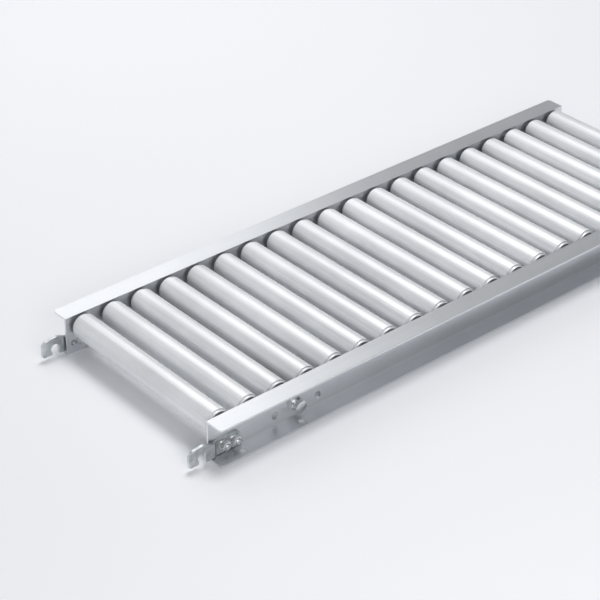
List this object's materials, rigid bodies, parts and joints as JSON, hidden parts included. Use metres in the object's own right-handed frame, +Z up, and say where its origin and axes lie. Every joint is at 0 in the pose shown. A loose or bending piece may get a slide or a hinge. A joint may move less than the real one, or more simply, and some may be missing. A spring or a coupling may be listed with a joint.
{
  "type": "gravity roller conveyor",
  "caption": "Straight gravity roller conveyor with free-turning tube rollers between outward-facing channel rails, with coupling hooks at one end.",
  "frame": {"origin": "the point on the surface that the rails stand on, under the middle of the whole length, hooks included, and midway between the rails", "axes": "+X along the conveyor away from the hook end, +Y to the left rail, +Z up"},
  "size_m": [1.037, 0.375, 0.062],
  "materials": {
    "rail_aluminium": "satin extruded aluminium",
    "roller_aluminium": "satin drawn aluminium tube",
    "hook_steel": "dull zinc plate",
    "bolt_steel": "bright zinc plate",
    "axle_steel": "drawn steel",
    "housing_steel": "pressed zinc-plated steel",
    "bearing_steel": "ground steel",
    "ball_steel": "polished",
    "spring_steel": "dark oiled spring steel"
  },
  "bodies": {
    "frame": {"rail_left": "rail_aluminium", "rail_right": "rail_aluminium", "axles": "axle_steel", "axle_rings": "spring_steel", "bearing_cones": "bearing_steel", "bearing_balls": "ball_steel", "bearing_shields": "spring_steel", "stay_front": "axle_steel", "stay_rear": "axle_steel", "stay_bolts": "bolt_steel", "stay_spring_washers": "spring_steel", "stay_flat_washers": "bolt_steel", "hook_left": "hook_steel", "hook_right": "hook_steel", "hook_bolts": "bolt_steel", "coupling_bolts": "bolt_steel", "coupling_bushes": "axle_steel", "bolt_washers": "bolt_steel", "bolt_nuts": "bolt_steel"},
    "roller_01": {"roller_tube_01": "roller_aluminium", "roller_ends_01": "housing_steel"},
    "roller_02": {"roller_tube_02": "roller_aluminium", "roller_ends_02": "housing_steel"},
    "roller_03": {"roller_tube_03": "roller_aluminium", "roller_ends_03": "housing_steel"},
    "roller_04": {"roller_tube_04": "roller_aluminium", "roller_ends_04": "housing_steel"},
    "roller_05": {"roller_tube_05": "roller_aluminium", "roller_ends_05": "housing_steel"},
    "roller_06": {"roller_tube_06": "roller_aluminium", "roller_ends_06": "housing_steel"},
    "roller_07": {"roller_tube_07": "roller_aluminium", "roller_ends_07": "housing_steel"},
    "roller_08": {"roller_tube_08": "roller_aluminium", "roller_ends_08": "housing_steel"},
    "roller_09": {"roller_tube_09": "roller_aluminium", "roller_ends_09": "housing_steel"},
    "roller_10": {"roller_tube_10": "roller_aluminium", "roller_ends_10": "housing_steel"},
    "roller_11": {"roller_tube_11": "roller_aluminium", "roller_ends_11": "housing_steel"},
    "roller_12": {"roller_tube_12": "roller_aluminium", "roller_ends_12": "housing_steel"},
    "roller_13": {"roller_tube_13": "roller_aluminium", "roller_ends_13": "housing_steel"},
    "roller_14": {"roller_tube_14": "roller_aluminium", "roller_ends_14": "housing_steel"},
    "roller_15": {"roller_tube_15": "roller_aluminium", "roller_ends_15": "housing_steel"},
    "roller_16": {"roller_tube_16": "roller_aluminium", "roller_ends_16": "housing_steel"},
    "roller_17": {"roller_tube_17": "roller_aluminium", "roller_ends_17": "housing_steel"},
    "roller_18": {"roller_tube_18": "roller_aluminium", "roller_ends_18": "housing_steel"},
    "roller_19": {"roller_tube_19": "roller_aluminium", "roller_ends_19": "housing_steel"},
    "roller_20": {"roller_tube_20": "roller_aluminium", "roller_ends_20": "housing_steel"}
  },
  "joints": [
    {"name": "roller_01_spin", "type": "hinge", "parent": "frame", "child": "roller_01", "pos_m": [-0.4565, 0, 0.043], "axis": [0, 1, 0], "continuous": true},
    {"name": "roller_02_spin", "type": "hinge", "parent": "frame", "child": "roller_02", "pos_m": [-0.4065, 0, 0.043], "axis": [0, 1, 0], "continuous": true},
    {"name": "roller_03_spin", "type": "hinge", "parent": "frame", "child": "roller_03", "pos_m": [-0.3565, 0, 0.043], "axis": [0, 1, 0], "continuous": true},
    {"name": "roller_04_spin", "type": "hinge", "parent": "frame", "child": "roller_04", "pos_m": [-0.3065, 0, 0.043], "axis": [0, 1, 0], "continuous": true},
    {"name": "roller_05_spin", "type": "hinge", "parent": "frame", "child": "roller_05", "pos_m": [-0.2565, 0, 0.043], "axis": [0, 1, 0], "continuous": true},
    {"name": "roller_06_spin", "type": "hinge", "parent": "frame", "child": "roller_06", "pos_m": [-0.2065, 0, 0.043], "axis": [0, 1, 0], "continuous": true},
    {"name": "roller_07_spin", "type": "hinge", "parent": "frame", "child": "roller_07", "pos_m": [-0.1565, 0, 0.043], "axis": [0, 1, 0], "continuous": true},
    {"name": "roller_08_spin", "type": "hinge", "parent": "frame", "child": "roller_08", "pos_m": [-0.1065, 0, 0.043], "axis": [0, 1, 0], "continuous": true},
    {"name": "roller_09_spin", "type": "hinge", "parent": "frame", "child": "roller_09", "pos_m": [-0.0565, 0, 0.043], "axis": [0, 1, 0], "continuous": true},
    {"name": "roller_10_spin", "type": "hinge", "parent": "frame", "child": "roller_10", "pos_m": [-0.0065, 0, 0.043], "axis": [0, 1, 0], "continuous": true},
    {"name": "roller_11_spin", "type": "hinge", "parent": "frame", "child": "roller_11", "pos_m": [0.0435, 0, 0.043], "axis": [0, 1, 0], "continuous": true},
    {"name": "roller_12_spin", "type": "hinge", "parent": "frame", "child": "roller_12", "pos_m": [0.0935, 0, 0.043], "axis": [0, 1, 0], "continuous": true},
    {"name": "roller_13_spin", "type": "hinge", "parent": "frame", "child": "roller_13", "pos_m": [0.1435, 0, 0.043], "axis": [0, 1, 0], "continuous": true},
    {"name": "roller_14_spin", "type": "hinge", "parent": "frame", "child": "roller_14", "pos_m": [0.1935, 0, 0.043], "axis": [0, 1, 0], "continuous": true},
    {"name": "roller_15_spin", "type": "hinge", "parent": "frame", "child": "roller_15", "pos_m": [0.2435, 0, 0.043], "axis": [0, 1, 0], "continuous": true},
    {"name": "roller_16_spin", "type": "hinge", "parent": "frame", "child": "roller_16", "pos_m": [0.2935, 0, 0.043], "axis": [0, 1, 0], "continuous": true},
    {"name": "roller_17_spin", "type": "hinge", "parent": "frame", "child": "roller_17", "pos_m": [0.3435, 0, 0.043], "axis": [0, 1, 0], "continuous": true},
    {"name": "roller_18_spin", "type": "hinge", "parent": "frame", "child": "roller_18", "pos_m": [0.3935, 0, 0.043], "axis": [0, 1, 0], "continuous": true},
    {"name": "roller_19_spin", "type": "hinge", "parent": "frame", "child": "roller_19", "pos_m": [0.4435, 0, 0.043], "axis": [0, 1, 0], "continuous": true},
    {"name": "roller_20_spin", "type": "hinge", "parent": "frame", "child": "roller_20", "pos_m": [0.4935, 0, 0.043], "axis": [0, 1, 0], "continuous": true}
  ]
}
